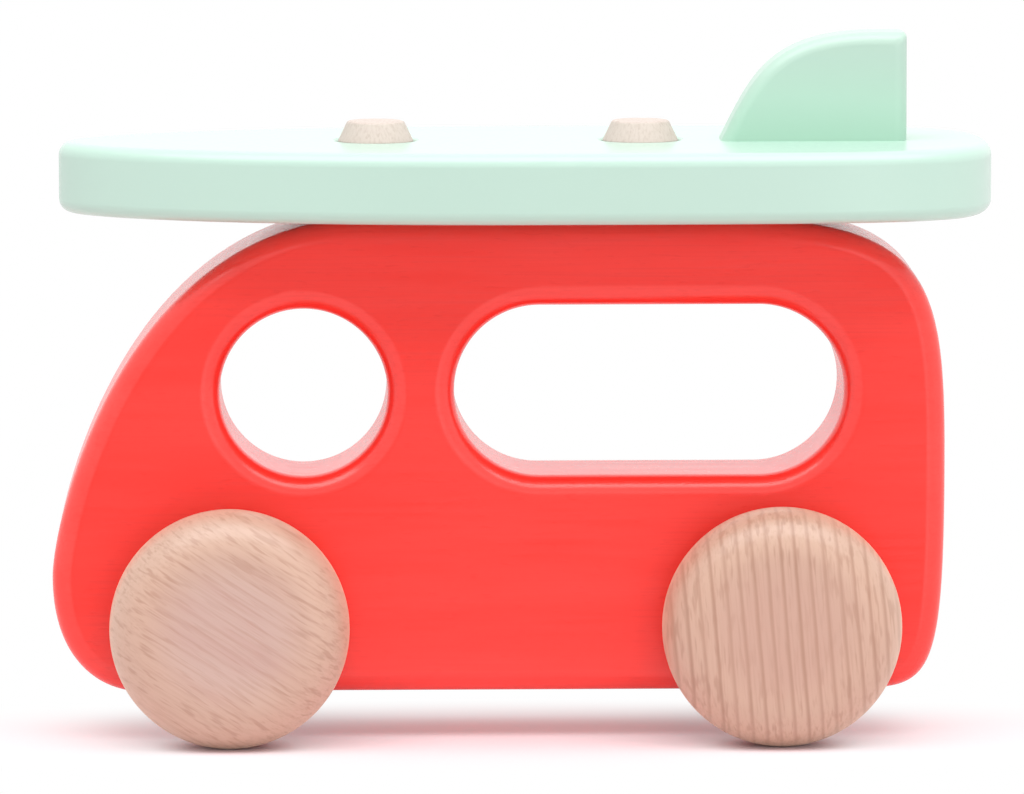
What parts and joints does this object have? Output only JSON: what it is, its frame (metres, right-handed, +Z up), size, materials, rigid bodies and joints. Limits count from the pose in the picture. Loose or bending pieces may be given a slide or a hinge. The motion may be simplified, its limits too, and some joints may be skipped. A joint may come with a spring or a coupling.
{
  "type": "toy camper van",
  "caption": "Wooden push-along camper van cut from a thick board, with window openings to grip, wheels on turning axles and a finned surfboard that lifts off the roof pegs.",
  "frame": {"origin": "on the floor, under the middle of the toy's box", "axes": "+Z up, +X from the van's nose to its tail, +Y to the van's right-hand side"},
  "size_m": [0.15, 0.0574, 0.1121],
  "materials": {
    "red_stained_wood": "red stain under a satin clear coat, grain just showing",
    "mint_painted_wood": "mint satin paint",
    "plain_wheel_wood": "bare wood, oiled, grain showing",
    "plain_dowel_wood": "bare wood, sanded"
  },
  "bodies": {
    "van": {"van_body": "red_stained_wood", "roof_peg_front": "plain_dowel_wood", "roof_peg_rear": "plain_dowel_wood"},
    "front_wheelset": {"front_axle": "plain_dowel_wood", "front_wheel_left": "plain_wheel_wood", "front_wheel_right": "plain_wheel_wood"},
    "rear_wheelset": {"rear_axle": "plain_dowel_wood", "rear_wheel_left": "plain_wheel_wood", "rear_wheel_right": "plain_wheel_wood"},
    "surfboard": {"surfboard": "mint_painted_wood", "surfboard_fin": "mint_painted_wood", "fin_dowel_front": "plain_dowel_wood", "fin_dowel_rear": "plain_dowel_wood"}
  },
  "joints": [
    {"name": "front_axle_spin", "type": "hinge", "parent": "van", "child": "front_wheelset", "pos_m": [-0.04675, 0, 0.019], "axis": [0, 1, 0], "continuous": true},
    {"name": "rear_axle_spin", "type": "hinge", "parent": "van", "child": "rear_wheelset", "pos_m": [0.0408, 0, 0.019], "axis": [0, 1, 0], "continuous": true},
    {"name": "surfboard_lift", "type": "slide", "parent": "van", "child": "surfboard", "axis": [0, 0, 1], "range_m": [0, 0.04]}
  ]
}
